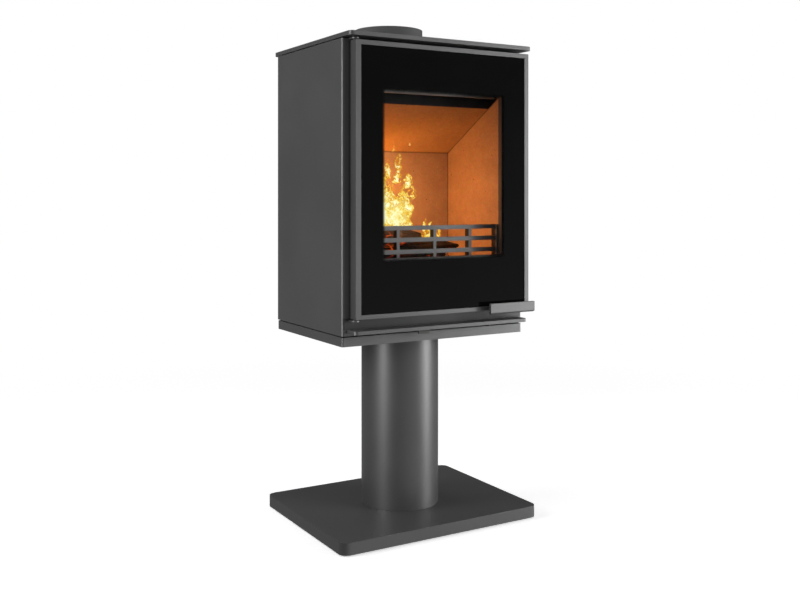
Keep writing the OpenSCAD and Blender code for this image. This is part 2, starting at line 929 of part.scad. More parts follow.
module frame_clips() {
    color(zinc) difference() {
        at_clips() y_bar(6.5, door_back, door_back + 1.4);
        upright(door_back - cut, door_back + 2) {
            window_2d(door_left - 9, door_left + 3.6, door_bottom, door_top);
            window_2d(door_right - 0.3, door_right + 9, door_bottom, door_top);
            window_2d(door_left, door_right, door_top - 0.3, door_top + 9);
        }
        at_clips() y_bar(1.6, door_back - cut, door_back + 2);
    }
}

module clip_screws() {
    color(bare_steel) at_clips() y_bar(1.5, door_back - 7, door_back + 1.6);
}

module door_rope_seal() {
    w = 2 * rope_half;
    h = rope_top - rope_bottom;
    r = rope_corner;
    color(rope_grey) translate([door_x, rope_y, (rope_top + rope_bottom) / 2]) rotate([90, 0, 0]) {
        for (s = [-1, 1]) {
            translate([s * w / 2, 0, 0]) rotate([90, 0, 0])
                cylinder(r = rope_r, h = h - 2 * r, center = true);
            translate([0, s * h / 2, 0]) rotate([0, 90, 0])
                cylinder(r = rope_r, h = w - 2 * r, center = true);
        }
        for (quarter = [0 : 3]) {
            sx = quarter == 0 || quarter == 3 ? 1 : -1;
            sy = quarter < 2 ? 1 : -1;
            translate([sx * (w / 2 - r), sy * (h / 2 - r), 0]) rotate(90 * quarter)
                rotate_extrude(angle = 90) translate([r, 0]) circle(rope_r);
        }
    }
}

// ---------------------------------------------------------------- latch

// Flat bar whose lower right corner and lower front edge are rounded
module handle_bar() {
    left = handle_right - handle_l;
    bottom = latch_z - handle_h / 2 + 0.2;
    top = bottom + handle_h;
    r = handle_round;
    color([0.55, 0.55, 0.55]) difference() {
        intersection() {
            upright(handle_front, handle_front + handle_t) {
                window_2d(left, handle_right, bottom + r, top);
                window_2d(left, handle_right - r, bottom, top);
                translate([handle_right - r, bottom + r]) circle(r);
            }
            across(left, handle_right) {
                translate([handle_front, bottom + r]) square([handle_t, handle_h - r]);
                translate([handle_front + r, bottom]) square([handle_t - r, handle_h]);
                translate([handle_front + r, bottom + r]) circle(r);
            }
        }
        translate([latch_x, 0, latch_z])
            y_bar(spindle_r + fit_gap, handle_front + 2, handle_front + handle_t + cut);
    }
}

module latch_spindle() {
    color(bare_steel) translate([latch_x, 0, latch_z]) {
        y_bar(spindle_r, handle_front + 2.5, cam_y + cam_t + 3);
        y_bar(5.5, handle_front + handle_t, door_front - part_gap);
    }
}

module latch_cam() {
    color(zinc) translate([latch_x, 0, latch_z]) difference() {
        upright(cam_y, cam_y + cam_t) {
            circle(6);
            translate([0, -cam_h / 2]) square([cam_l - cam_h / 2, cam_h]);
            translate([cam_l - cam_h / 2, 0]) circle(cam_h / 2);
        }
        y_bar(spindle_r + fit_gap, cam_y - cut, cam_y + cam_t + cut);
    }
}

module latch_keeper() {
    low = latch_z + 5.8;
    back_y = -body_front + sheet_t;
    color(zinc) span([latch_x + 9, back_y, low], [latch_x + cam_l, back_y + 11, low + 3]);
}

base_plate();
base_pads();
column_tube();
column_foot_flange();
column_head_flange();
base_bolts();
head_bolts();
mounting_plate();
bottom_tray();
support_rails();
air_box();
air_slide_guides();
air_slide();
air_lever();
casing_shell();
back_panel();
back_screws();
top_plate();
top_studs();
flue_collar();
collar_bolts();
firebox_floor();
firebox_left_wall();
firebox_right_wall();
firebox_back_wall();
firebox_top();
firebox_frame();
air_wash_ducts();
air_wash_channel();
air_wash_deflector();
grate_shelf();
grate();
ash_pan();
hearth_brick_left();
hearth_brick_right();
hearth_brick_front();
side_board_left();
side_board_right();
rear_board();
rear_insulation();
lower_baffle();
upper_baffle();
log_retainer();
front_lip();
upper_hinge_bracket();
lower_hinge_bracket();
hinge_pins();
hinge_washers();
door_frame();
door_glass();
glass_gasket();
door_inner_frame();
frame_clips();
clip_screws();
door_rope_seal();
handle_bar();
latch_spindle();
latch_cam();
latch_keeper();
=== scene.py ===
"""Looks of a wood burning stove on a round pedestal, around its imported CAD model.

Metres. X runs to the right, Y to the back and Z up. The origin is on the floor, on the column's axis.
"""

import json
import math
import random

import bmesh
import bpy
from mathutils import Matrix, Vector, noise


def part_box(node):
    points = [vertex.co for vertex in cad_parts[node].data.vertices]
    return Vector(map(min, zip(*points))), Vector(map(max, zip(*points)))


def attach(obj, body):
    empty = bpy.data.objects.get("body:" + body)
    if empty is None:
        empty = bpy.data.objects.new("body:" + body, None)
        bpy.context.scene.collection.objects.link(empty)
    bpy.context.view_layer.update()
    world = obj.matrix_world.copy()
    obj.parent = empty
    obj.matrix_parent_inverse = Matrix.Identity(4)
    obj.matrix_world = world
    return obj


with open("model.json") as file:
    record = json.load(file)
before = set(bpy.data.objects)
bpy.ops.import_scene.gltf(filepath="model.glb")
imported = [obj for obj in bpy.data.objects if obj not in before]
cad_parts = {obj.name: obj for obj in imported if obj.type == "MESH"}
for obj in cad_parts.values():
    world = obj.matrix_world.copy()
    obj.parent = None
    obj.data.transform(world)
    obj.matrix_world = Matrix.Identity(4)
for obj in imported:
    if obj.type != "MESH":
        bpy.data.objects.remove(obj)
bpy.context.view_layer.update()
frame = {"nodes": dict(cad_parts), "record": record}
NODES = frame["nodes"]

# ---------------------------------------------------------------- node trees


class Tree:
    """A material's node tree, with short names for the nodes that this scene uses."""

    def __init__(self, name):
        self.material = bpy.data.materials.new(name)
        self.material.use_nodes = True
        self.tree = self.material.node_tree
        self.tree.nodes.clear()
        self.place = self.add("ShaderNodeTexCoord").outputs["Object"]

    def add(self, kind, **settings):
        """A new node with these settings."""
        node = self.tree.nodes.new(kind)
        for key, value in settings.items():
            setattr(node, key, value)
        return node

    def put(self, socket, value):
        """Links a socket to an output, or gives it a plain value."""
        if isinstance(value, bpy.types.NodeSocket):
            self.tree.links.new(value, socket)
        elif isinstance(value, tuple) and len(value) == 3 and socket.type == "RGBA":
            socket.default_value = (*value, 1)
        else:
            socket.default_value = value

    def stretched(self, scale):
        """The place in the frame, multiplied by a scale on each axis."""
        mapping = self.add("ShaderNodeMapping")
        self.put(mapping.inputs["Vector"], self.place)
        mapping.inputs["Scale"].default_value = scale
        return mapping.outputs["Vector"]

    def noise(self, scale, detail=2.0, distortion=0.0, where=None):
        """Smooth noise, from 0 to 1."""
        node = self.add("ShaderNodeTexNoise")
        self.put(node.inputs["Vector"], where or self.place)
        node.inputs["Scale"].default_value = scale
        node.inputs["Detail"].default_value = detail
        node.inputs["Distortion"].default_value = distortion
        return node.outputs["Fac"]

    def cells(self, scale, output="Distance", feature="F1", where=None):
        """Voronoi cells: their distance or their colour."""
        node = self.add("ShaderNodeTexVoronoi", feature=feature)
        self.put(node.inputs["Vector"], where or self.place)
        node.inputs["Scale"].default_value = scale
        return node.outputs[output]

    def math(self, operation, a, b=0.0):
        """Two values put together by a Math node."""
        node = self.add("ShaderNodeMath", operation=operation)
        self.put(node.inputs[0], a)
        self.put(node.inputs[1], b)
        return node.outputs[0]

    def along(self, direction):
        """How far each point lies along a direction."""
        node = self.add("ShaderNodeVectorMath", operation="DOT_PRODUCT")
        self.put(node.inputs[0], self.place)
        node.inputs[1].default_value = direction
        return node.outputs["Value"]

    def fit(self, value, low, high, to_low=0.0, to_high=1.0, smooth=False):
        """The value, mapped from one range to another and held at its ends."""
        node = self.add("ShaderNodeMapRange")
        node.interpolation_type = "SMOOTHSTEP" if smooth else "LINEAR"
        self.put(node.inputs["Value"], value)
        node.inputs["From Min"].default_value = low
        node.inputs["From Max"].default_value = high
        node.inputs["To Min"].default_value = to_low
        node.inputs["To Max"].default_value = to_high
        return node.outputs["Result"]

    def blend(self, factor, a, b, mode="MIX"):
        """A colour that goes from a to b as the factor goes from 0 to 1."""
        node = self.add("ShaderNodeMix", data_type="RGBA", blend_type=mode)
        self.put(node.inputs["Factor"], factor)
        self.put(node.inputs["A"], a)
        self.put(node.inputs["B"], b)
        return node.outputs["Result"]

    def ramp(self, value, *stops):
        """A colour ramp whose stops are (position, colour)."""
        node = self.add("ShaderNodeValToRGB")
        elements = node.color_ramp.elements
        while len(elements) < len(stops):
            elements.new(0.5)
        for element, (position, colour) in zip(elements, stops):
            element.position = position
            element.color = (*colour, 1)
        self.put(node.inputs["Fac"], value)
        return node.outputs["Color"]

    def axes(self):
        """The place in the frame on X, on Y and on Z."""
        node = self.add("ShaderNodeSeparateXYZ")
        self.put(node.inputs[0], self.place)
        return node.outputs["X"], node.outputs["Y"], node.outputs["Z"]

    def inside(self, low, high):
        """One inside a box of the frame, and 0 outside it."""
        both = 1.0
        for value, start, end in zip(self.axes(), low, high):
            both = self.math("MULTIPLY", both, self.math("GREATER_THAN", value, start))
            both = self.math("MULTIPLY", both, self.math("LESS_THAN", value, end))
        return both

    def bump(self, height, depth, strength=1.0, under=None):
        """A normal tilted by a height of this depth in metres, over another normal if there is one."""
        node = self.add("ShaderNodeBump")
        node.inputs["Strength"].default_value = strength
        node.inputs["Distance"].default_value = depth
        self.put(node.inputs["Height"], height)
        if under:
            self.put(node.inputs["Normal"], under)
        return node.outputs["Normal"]

    def edges(self, radius):
        """How near an edge is, from 0 on a flat face to 1 on the edge, and the rounded normal there."""
        rounded = self.add("ShaderNodeBevel", samples=BEVEL_SAMPLES)
        rounded.inputs["Radius"].default_value = radius
        node = self.add("ShaderNodeVectorMath", operation="DOT_PRODUCT")
        self.put(node.inputs[0], rounded.outputs["Normal"])
        self.put(node.inputs[1], self.add("ShaderNodeNewGeometry").outputs["Normal"])
        return self.fit(node.outputs["Value"], *EDGE_TURN, 1.0, 0.0), rounded.outputs["Normal"]

    def surface(self, **values):
        """Ends the tree in a Principled shader with these inputs."""
        shader = self.add("ShaderNodeBsdfPrincipled")
        for key, value in values.items():
            self.put(shader.inputs[key.replace("_", " ")], value)
        self.finish(shader.outputs["BSDF"])
        return self.material

    def finish(self, shader):
        """Ends the tree in a shader."""
        output = self.add("ShaderNodeOutputMaterial")
        self.tree.links.new(shader, output.inputs["Surface"])
        return self.material


def grey(value):
    """A colour with the same red, green and blue."""
    return (value, value, value)


# ---------------------------------------------------------------- materials


EDGE_RADIUS = 0.0007
EDGE_TURN = (0.78, 0.98)
BEVEL_SAMPLES = 6
# How much lighter edges get, partly from worn paint and partly as a painted highlight.
WORN_AND_HIGHLIGHT_BRIGHTER = 1.8
# How dark the painted shade inside a shade box makes the paint.
PAINTED_SHADE_DIMMER = 0.45


def paint(name, colour, metallic, rough, depth=0.000014, shade_box=None):
    """Heat-proof paint: orange-peel grain, faint clouds, lighter grains of pigment, and lighter edges that
    are partly paint worn thin and partly a painted highlight.

    A shade box is a box, given by its lowest and its highest corner, in which the paint is darkened as
    painted shade.
    """
    t = Tree(name)
    cloud = t.noise(7, 4)
    grain = t.noise(1400, 3)
    pigment = t.fit(t.noise(3200, 1), 0.62, 0.74)
    tone = t.blend(cloud, tuple(c * 0.9 for c in colour), tuple(c * 1.1 for c in colour))
    tone = t.blend(t.math("MULTIPLY", pigment, 0.35), tone, tuple(min(1, c * 2.2) for c in colour))
    edge, rounded = t.edges(EDGE_RADIUS)
    # Lighter along the edges: partly paint worn thin, partly a painted highlight.
    worn_and_highlight = t.math("MULTIPLY", edge, t.fit(t.noise(60, 4), 0.35, 0.65, 0.25, 0.8))
    tone = t.blend(worn_and_highlight, tone, tuple(min(1, c * WORN_AND_HIGHLIGHT_BRIGHTER) for c in colour))
    # Inside the shade box the paint is darkened: painted shade on the recessed strip under the door.
    if shade_box:
        tone = t.blend(t.inside(*shade_box), tone, tuple(c * PAINTED_SHADE_DIMMER for c in colour))
    broad = t.fit(cloud, 0.3, 0.7, rough - 0.03, rough + 0.03)
    roughness = t.math("ADD", broad, t.math("MULTIPLY", grain, 0.05))
    return t.surface(Base_Color=tone, Metallic=metallic, Roughness=roughness,
                     Normal=t.bump(grain, depth, under=rounded))


def sheet_metal(name, colour, rough, grain_scale=(40, 40, 900)):
    """Plated or bare steel: drawn grain along the sheet, spangle and a little staining."""
    t = Tree(name)
    drawn = t.noise(2, 3, where=t.stretched(grain_scale))
    spangle = t.cells(140, "Color")
    stain = t.noise(14, 5, 0.6)
    tone = t.blend(t.fit(stain, 0.4, 0.75), colour, tuple(c * 0.7 for c in colour))
    tone = t.blend(0.07, tone, spangle, "SOFT_LIGHT")
    broad = t.fit(drawn, 0.2, 0.8, rough - 0.06, rough + 0.06)
    roughness = t.math("ADD", broad, t.math("MULTIPLY", stain, 0.08))
    return t.surface(Base_Color=tone, Metallic=1.0, Roughness=roughness, Normal=t.bump(drawn, 0.00004))


def casting(name, colour, rough, metallic=0.5, soot_and_shade_from=None):
    """Cast iron: sand grain in two sizes and dull heat patches, and behind a level on Y a near black that
    is partly soot and partly painted shade.
    """
    t = Tree(name)
    sand = t.noise(700, 4)
    pits = t.cells(320)
    heat = t.noise(16, 4, 0.4)
    tone = t.blend(heat, tuple(c * 0.8 for c in colour), tuple(c * 1.2 for c in colour))
    # Behind the level the iron is near black: partly soot, partly painted shade.
    if soot_and_shade_from is not None:
        soot = t.fit(t.axes()[1], soot_and_shade_from, soot_and_shade_from + 0.0012, 0.0, 0.9)
        tone = t.blend(soot, tone, grey(0.012))
    height = t.math("ADD", t.math("MULTIPLY", sand, 0.7), t.math("MULTIPLY", pits, 0.3))
    roughness = t.fit(sand, 0.2, 0.8, rough - 0.08, rough + 0.08)
    return t.surface(Base_Color=tone, Metallic=metallic, Roughness=roughness,
                     Normal=t.bump(height, 0.00008))


def vermiculite(name, joints=(), nose_in_shade_and_soot=None, base=(0.45, 0.282, 0.160)):
    """Pressed vermiculite board: mica flakes, dark grains, soot clouds, sooted joints, and a front end
    darkened partly by soot and partly as painted shade.

    A joint is a plane, given by its distance along a direction, and so is the front end of a board.
    """
    t = Tree(name)
    flakes = t.cells(330, "Color")
    bound = t.noise(60, 5)
    soot = t.noise(9, 4, 0.5)
    specks = t.fit(t.cells(75), 0.07, 0.12, 1.0, 0.0)
    tone = t.blend(t.fit(bound, 0.3, 0.7), tuple(c * 0.9 for c in base), base)
    tone = t.blend(0.18, tone, flakes, "SOFT_LIGHT")
    tone = t.blend(t.fit(soot, 0.5, 0.8, 0.0, 0.35), tone, (0.20, 0.11, 0.06))
    scattered = t.math("MULTIPLY", specks, t.fit(t.noise(30, 1), 0.54, 0.60))
    tone = t.blend(scattered, tone, (0.07, 0.04, 0.03))
    for level, direction in joints:
        apart = t.math("ABSOLUTE", t.math("SUBTRACT", t.along(direction), level))
        tone = t.blend(t.fit(apart, 0.0006, 0.0028, 0.5, 0.0, True), tone, grey(0.02))
    # The front end is painted near black: partly soot, partly painted shade.
    if nose_in_shade_and_soot:
        level, direction = nose_in_shade_and_soot
        cover = t.fit(t.along(direction), level - 0.0016, level - 0.0004)
        tone = t.blend(cover, tone, t.blend(bound, grey(0.030), grey(0.060)))
    height = t.math("ADD", t.cells(330), t.math("MULTIPLY", bound, 1.5))
    return t.surface(Base_Color=tone, Roughness=0.86, Normal=t.bump(height, 0.0002, 0.6))


def fibre(name, colour, pitch):
    """Knitted or felted ceramic fibre: slanting ribs of yarn with painted shade in the grooves between
    them, and loose hairs.
    """
    t = Tree(name)
    ribs = t.add("ShaderNodeTexWave", wave_type="BANDS", bands_direction="DIAGONAL")
    t.put(ribs.inputs["Vector"], t.place)
    ribs.inputs["Scale"].default_value = pitch
    ribs.inputs["Distortion"].default_value = 1.2
    ribs.inputs["Detail"].default_value = 2
    hair = t.noise(900, 4, where=t.stretched((1, 1, 0.3)))
    tone = t.blend(hair, tuple(c * 0.72 for c in colour), colour)
    # Darker in the grooves between the ribs: painted shade.
    tone = t.blend(t.fit(ribs.outputs["Fac"], 0.0, 0.4, 0.45, 0.0), tone, tuple(c * 0.35 for c in colour))
    height = t.math("ADD", ribs.outputs["Fac"], t.math("MULTIPLY", hair, 0.4))
    return t.surface(Base_Color=tone, Roughness=0.92, Normal=t.bump(height, 0.0006))


def rubber(name):
    """Black rubber: fine grain under patches of dust."""
    t = Tree(name)
    grain = t.noise(1100, 3)
    dust = t.fit(t.noise(45, 5), 0.5, 0.8, 0.0, 0.4)
    tone = t.blend(dust, (0.018, 0.018, 0.018), (0.09, 0.085, 0.08))
    return t.surface(Base_Color=tone, Roughness=t.fit(grain, 0.2, 0.8, 0.6, 0.8),
                     Normal=t.bump(grain, 0.0001))


WINDOW_LEFT, WINDOW_RIGHT = -0.1365, 0.1535
WINDOW_BOTTOM, WINDOW_TOP = 0.564, 0.9030
PRINT_FADE = 0.0045


def printed_glass(name):
    """Ceramic glass: clear in its window, with a black print round it whose edge fades out."""
    t = Tree(name)
    x, _, z = t.axes()
    left = t.fit(x, WINDOW_LEFT - PRINT_FADE, WINDOW_LEFT + PRINT_FADE, smooth=True)
    right = t.fit(x, WINDOW_RIGHT - PRINT_FADE, WINDOW_RIGHT + PRINT_FADE, 1.0, 0.0, True)
    low = t.fit(z, WINDOW_BOTTOM - PRINT_FADE, WINDOW_BOTTOM + PRINT_FADE, smooth=True)
    high = t.fit(z, WINDOW_TOP - PRINT_FADE, WINDOW_TOP + PRINT_FADE, 1.0, 0.0, True)
    window = t.math("MULTIPLY", t.math("MULTIPLY", left, right), t.math("MULTIPLY", low, high))
    haze = t.fit(t.noise(22, 4, 0.8), 0.45, 0.75, 0.03, 0.07)
    clear = t.math("SUBTRACT", 1.0, haze)
    solid = t.math("SUBTRACT", 1.0, t.math("MULTIPLY", window, clear))
    ripple = t.noise(11, 1)
    tone = t.blend(t.fit(t.noise(5, 3), 0.3, 0.7), grey(0.0022), grey(0.0032))
    return t.surface(Base_Color=tone, Roughness=t.fit(ripple, 0.3, 0.7, 0.05, 0.08), Alpha=solid,
                     Specular_IOR_Level=0.145, Normal=t.bump(ripple, 0.00005, 0.3))


def bark(name):
    """Charred wood: black checks between brown and ashy blocks, with dull fire in a few deep cracks."""
    t = Tree(name)
    blocks = t.stretched((0.35, 1, 1))
    checks = t.cells(95, "Distance", "DISTANCE_TO_EDGE", where=blocks)
    fibres = t.noise(210, 4, where=t.stretched((0.12, 1, 1)))
    ash = t.fit(t.noise(34, 4, 0.6), 0.56, 0.74)
    hot = t.math("MULTIPLY", t.fit(checks, 0.02, 0.10, 1.0, 0.0), t.fit(t.noise(23, 2), 0.53, 0.68))
    tone = t.blend(fibres, (0.005, 0.004, 0.0035), (0.024, 0.015, 0.010))
    tone = t.blend(t.math("MULTIPLY", ash, 0.30), tone, (0.13, 0.12, 0.11))
    blaze = t.ramp(hot, (0.0, (0, 0, 0)), (0.5, (0.16, 0.008, 0.001)), (1.0, (0.75, 0.11, 0.01)))
    height = t.math("ADD", t.fit(checks, 0.0, 0.12), t.math("MULTIPLY", fibres, 0.5))
    return t.surface(Base_Color=tone, Roughness=0.88, Normal=t.bump(height, 0.0016),
                     Emission_Color=blaze, Emission_Strength=0.8)


def embers(name):
    """Ash bed: pale powder over dark coals that still glow."""
    t = Tree(name)
    cracks = t.cells(85, "Distance", "DISTANCE_TO_EDGE")
    powder = t.noise(240, 5)
    cover = t.fit(t.noise(28, 4), 0.46, 0.66)
    hot = t.math("MULTIPLY", t.fit(cracks, 0.02, 0.09, 1.0, 0.0), t.math("SUBTRACT", 1.0, cover))
    tone = t.blend(powder, (0.06, 0.055, 0.05), (0.26, 0.25, 0.24))
    tone = t.blend(t.math("SUBTRACT", 1.0, cover), tone, (0.012, 0.010, 0.009))
    blaze = t.ramp(hot, (0.0, (0, 0, 0)), (0.5, (0.10, 0.006, 0.001)), (1.0, (0.45, 0.08, 0.01)))
    return t.surface(Base_Color=tone, Roughness=0.95, Normal=t.bump(powder, 0.001),
                     Emission_Color=blaze, Emission_Strength=0.6)


FLAME_COLOURS = (
    (0.02, (0.80, 0.25, 0.012)),
    (0.22, (0.93, 0.48, 0.03)),
    (0.45, (1.0, 0.77, 0.13)),
    (0.70, (1.0, 0.93, 0.40)),
    (1.0, (1.0, 0.98, 0.70)),
)


def fire(name):
    """Flame: light only, whiter where it burns hotter, torn by noise and more restless towards its tips."""
    t = Tree(name)
    burn = t.add("ShaderNodeAttribute", attribute_name="burn").outputs["Fac"]
    height = t.axes()[2]
    torn = t.noise(70, 3, 1.1, where=t.stretched((1, 1, 0.55)))
    flecks = t.noise(150, 3, 1.4, where=t.stretched((1, 1, 0.75)))
    aloft = t.fit(height, 0.645, 0.700, 0.2, 1.0)
    restless = t.math("ADD", aloft, t.fit(height, 0.625, 0.645, 0.8, 0.0))
    flecks = t.math("MULTIPLY", t.fit(flecks, 0.3, 0.7, -0.75, 0.50), restless)
    level = t.math("ADD", t.math("ADD", burn, flecks), t.fit(torn, 0.25, 0.75, -0.45, 0.30))
    tips = t.fit(height, 0.665, 0.780, 0.0, 0.32)
    cooler = t.math("ADD", tips, t.fit(height, 0.610, 0.640, 0.38, 0.0))
    heat = t.math("SUBTRACT", level, cooler)
    colour = t.ramp(heat, *FLAME_COLOURS)
    light = t.add("ShaderNodeEmission")
    t.put(light.inputs["Color"], colour)
    t.put(light.inputs["Strength"], t.fit(heat, 0.0, 0.9, 0.85, 1.15))
    mix = t.add("ShaderNodeMixShader")
    thick = t.fit(level, 0.06, 0.34, smooth=True)
    t.put(mix.inputs[0], t.math("MULTIPLY", thick, t.fit(height, 0.730, 0.790, 1.0, 0.45)))
    t.put(mix.inputs[1], t.add("ShaderNodeBsdfTransparent").outputs[0])
    t.put(mix.inputs[2], light.outputs[0])
    t.finish(mix.outputs[0])
    t.material.cycles.emission_sampling = "NONE"
    return t.material


FLOOR_GLOW = 0.5


def floor_finish(name):
    """Pale floor that turns into plain white light further out, so that no horizon shows."""
    t = Tree(name)
    mottle = t.noise(3, 5)
    tone = t.blend(mottle, grey(0.90), grey(0.93))
    away = t.add("ShaderNodeVectorMath", operation="LENGTH")
    t.put(away.inputs[0], t.place)
    fade = t.fit(away.outputs["Value"], 0.55, 2.2, smooth=True)
    lit = t.blend(fade, tone, grey(0.0))
    own_light = t.blend(fade, grey(FLOOR_GLOW), grey(1.0))
    return t.surface(Base_Color=lit, Roughness=0.75, Normal=t.bump(t.noise(300, 3), 0.0002),
                     Specular_IOR_Level=0.0, Emission_Color=own_light, Emission_Strength=1.0)


# The colour, the metallic share and the roughness of the paint on most of the stove.
GRAPHITE = ((0.130, 0.130, 0.131), 0.55, 0.40)
DEFLECTOR_GREY = (0.26, 0.255, 0.245)
COLLAR_GREY = (0.098, 0.098, 0.099)
# The baffle's own copy of the board colour, more orange and with less blue: painted firelight.
BOARD_TINTED_AS_PAINTED_FIRELIGHT = (0.46, 0.255, 0.098)

# How far the posts of the log retainer reach back from its front, in metres.
POST_DEPTH = 0.014

SLOT_LOOKS = {
    "graphite_paint": paint("graphite_paint", *GRAPHITE),
    "firebox_steel": paint("firebox_steel", (0.072, 0.070, 0.068), 0.3, 0.55, 0.00003),
    "zinc_steel": sheet_metal("zinc_steel", (0.52, 0.52, 0.50), 0.38),
    "bare_steel": sheet_metal("bare_steel", (0.34, 0.33, 0.32), 0.40),
    "cast_iron": casting("cast_iron", (0.15, 0.15, 0.152), 0.55),
    "vermiculite": vermiculite("vermiculite"),
    "fibre_board": fibre("fibre_board", (0.72, 0.71, 0.68), 60),
    "fibre_rope": fibre("fibre_rope", (0.30, 0.29, 0.27), 160),
    "ceramic_glass": printed_glass("ceramic_glass"),
    "handle_metal": paint("handle_metal", (0.17, 0.17, 0.17), 0.5, 0.46),
    "pad_rubber": rubber("pad_rubber"),
}


def plane_of(node, order):
    """The plane of the face that comes first in an order: its distance along its normal, and that."""
    face = min(NODES[node].data.polygons, key=order)
    return face.center.dot(face.normal), tuple(face.normal)


def dress_boards():
    """Gives the firebox boards soot along the lines where their faces meet."""
    left = plane_of("side_board_left", lambda face: -face.normal.x)
    right = plane_of("side_board_right", lambda face: face.normal.x)
    rear = plane_of("rear_board", lambda face: face.normal.y)
    under = plane_of("lower_baffle", lambda face: face.normal.z)
    nose_in_shade_and_soot = plane_of("lower_baffle", lambda face: face.normal.y)
    looks = {
        "side_board_left": vermiculite("vermiculite_side", (rear, under)),
        "rear_board": vermiculite("vermiculite_rear", (left, right, under)),
        # The baffle gets a board colour tinted as painted firelight, and painted shade on its front end.
        "lower_baffle": vermiculite("vermiculite_baffle_painted_light", (left, right, rear), nose_in_shade_and_soot, BOARD_TINTED_AS_PAINTED_FIRELIGHT),
    }
    looks["side_board_right"] = looks["side_board_left"]
    for node, look in looks.items():
        NODES[node].data.materials[0] = look


def painted_shade_strip():
    """The lowest and the highest corner of the casing's strip between the ledge and the door, which gets
    painted shade.
    """
    low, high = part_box("casing_shell")
    strip_low = (low.x, low.y - 0.001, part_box("front_lip")[1].z)
    strip_high = (high.x, low.y + 0.0005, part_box("door_frame")[0].z + 0.001)
    return strip_low, strip_high


def dress_nodes():
    """Gives every CAD node the look of its material slot, and a few nodes a look of their own."""
    for part in frame["record"]["subparts"]:
        mesh = NODES[part["node"]].data
        mesh.materials.clear()
        mesh.materials.append(SLOT_LOOKS[part["material_slot"]])
    dress_boards()
    # The retainer's iron behind this level is painted near black: soot, and painted shade on the posts'
    # sides.
    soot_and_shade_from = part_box("log_retainer")[1].y - POST_DEPTH + 0.0006
    black_steel = sheet_metal("black_steel", grey(0.05), 0.55)
    looks = {
        "air_wash_deflector": paint("deflector_steel", DEFLECTOR_GREY, 0.4, 0.6),
        "flue_collar": casting("collar_iron", COLLAR_GREY, 0.75, 0.1),
        "log_retainer": casting("sooty_and_shaded_iron", grey(0.145), 0.55, 0.5, soot_and_shade_from),
        "hinge_pins": black_steel,
        "hinge_washers": black_steel,
        # The casing's paint is darkened on the strip under the door as painted shade.
        "casing_shell": paint("casing_paint_with_painted_shade", *GRAPHITE, shade_box=painted_shade_strip()),
    }
    for node, look in looks.items():
        NODES[node].data.materials[0] = look


# ---------------------------------------------------------------- mesh helpers


def new_piece(name, bm, material, smooth=True):
    """An object made from a bmesh, with one material."""
    mesh = bpy.data.meshes.new(name)
    bm.normal_update()
    bm.to_mesh(mesh)
    bm.free()
    for polygon in mesh.polygons:
        polygon.use_smooth = smooth
    mesh.materials.append(material)
    piece = bpy.data.objects.new(name, mesh)
    bpy.context.scene.collection.objects.link(piece)
    return piece


def grid_faces(bm, rows):
    """Quads between rows of vertices of the same length."""
    for lower, upper in zip(rows, rows[1:]):
        for j in range(len(lower) - 1):
            bm.faces.new((lower[j], lower[j + 1], upper[j + 1], upper[j]))


def rim(rows):
    """The vertices round the border of a grid."""
    return rows[0] + [r[-1] for r in rows[1:]] + rows[-1][-2::-1] + [r[0] for r in rows[-2:0:-1]]


# ---------------------------------------------------------------- what burns


LOG_STEPS = 56
LOG_SIDES = 40


def split_log(name, start, end, radius, split_angle, seed, points):
    """A split log: round under its bark, flat where it was cleft, burnt to a point at each end.

    The points say over which share of its length each end narrows.
    """
    start, end = Vector(start), Vector(end)
    axis = end - start
    turn = axis.to_track_quat("X", "Z").to_matrix()
    bm = bmesh.new()
    rings = []
    for i in range(LOG_STEPS + 1):
        share = i / LOG_STEPS
        closing = min(1.0, 0.12 + share / points[0], 0.12 + (1 - share) / points[1]) ** 0.8
        ring = []
        for j in range(LOG_SIDES):
            angle = math.tau * j / LOG_SIDES
            away = math.cos(angle - split_angle)
            reach = radius if away < 0.35 else radius * 0.35 / away
            round_y, round_z = math.cos(angle), math.sin(angle)
            along = share + 0.02 * noise.noise(Vector((round_y * 2, round_z * 2, seed + 9)))
            spot = Vector((share * 5 + seed, round_y * 1.6, round_z * 1.6))
            rough = noise.fractal(spot, 1.0, 2.1, 5)
            reach *= closing * (1 + 0.16 * rough)
            point = Vector((along * axis.length, round_y * reach, round_z * reach))
            ring.append(bm.verts.new(start + turn @ point))
        rings.append(ring)
    for lower, upper in zip(rings, rings[1:]):
        for j in range(LOG_SIDES):
            k = (j + 1) % LOG_SIDES
            bm.faces.new((lower[j], lower[k], upper[k], upper[j]))
    bm.faces.new(rings[0])
    bm.faces.new(rings[-1][::-1])
    bmesh.ops.recalc_face_normals(bm, faces=bm.faces)
    return new_piece(name, bm, bark_look)


ASH_COLUMNS = 90
ASH_LINES = 56


